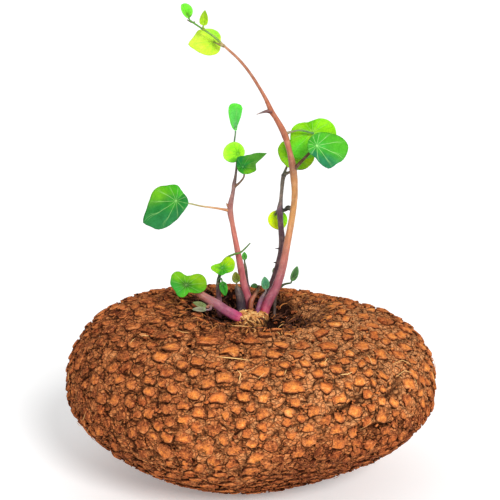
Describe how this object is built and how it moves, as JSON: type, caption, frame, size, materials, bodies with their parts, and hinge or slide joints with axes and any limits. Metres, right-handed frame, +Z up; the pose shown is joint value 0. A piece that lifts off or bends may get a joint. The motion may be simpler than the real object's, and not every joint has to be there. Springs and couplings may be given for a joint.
{
  "type": "stephania caudex with young shoots",
  "caption": "Broad rounded storage root in corky bark plates, resting bare on its flat underside, with thin vine shoots and round shield-shaped leaves rising from its crown hollow.",
  "frame": {"origin": "middle of the flat rest spot under the storage root, on the surface that the root rests on", "axes": "+Z up, the way the shoots grow; +X to the right and +Y away from the viewer as the picture sees the plant"},
  "size_m": [0.1764, 0.1569, 0.2296],
  "materials": {
    "bark": "dry corky bark in matte orange-brown plates",
    "stem_tan": "smooth satin skin, tan-orange, violet-pink at the foot",
    "stem_rose": "smooth satin skin, rose to salmon",
    "stem_mauve": "smooth satin skin, mauve-brown",
    "stem_grey_green": "smooth satin skin, dark grey-green",
    "leaf_green": "thin satin leaf with pale veins, full green",
    "leaf_fresh": "thin satin leaf with pale veins, fresh green",
    "leaf_lime": "thin satin leaf with pale veins, yellow-green",
    "leaf_deep": "thin satin leaf with pale veins, dark green",
    "leaf_sage": "thin satin leaf, greyish green"
  },
  "bodies": {
    "root": {"caudex": "bark", "stem_tall": "stem_tan", "shoot_short": "stem_tan", "stem_left": "stem_rose", "stub_left": "stem_rose", "stem_back": "stem_mauve", "shoot_left": "stem_mauve", "shoot_behind": "stem_mauve", "shoot_violet": "stem_mauve", "shoot_middle": "stem_grey_green", "shoot_right": "stem_grey_green", "shoot_far": "stem_grey_green", "leaf_tall_front": "leaf_green", "leaf_left_broad": "leaf_green", "leaf_shoot_lower": "leaf_green", "leaf_violet": "leaf_green", "leaf_tall_back": "leaf_fresh", "leaf_tall_bud": "leaf_fresh", "leaf_left_spoon": "leaf_fresh", "leaf_back_top": "leaf_fresh", "leaf_stub_lobed": "leaf_fresh", "leaf_behind_small": "leaf_fresh", "leaf_far": "leaf_fresh", "leaf_tall_tip_broad": "leaf_lime", "leaf_tall_tip_small": "leaf_lime", "leaf_left_round": "leaf_lime", "leaf_back_round": "leaf_lime", "leaf_shoot_upper": "leaf_lime", "leaf_middle_bud": "leaf_lime", "leaf_left_pointed": "leaf_deep", "leaf_back_small": "leaf_deep", "leaf_short": "leaf_deep", "leaf_right": "leaf_deep", "leaf_stub_upper": "leaf_sage", "leaf_stub_lower": "leaf_sage"}
  },
  "joints": []
}
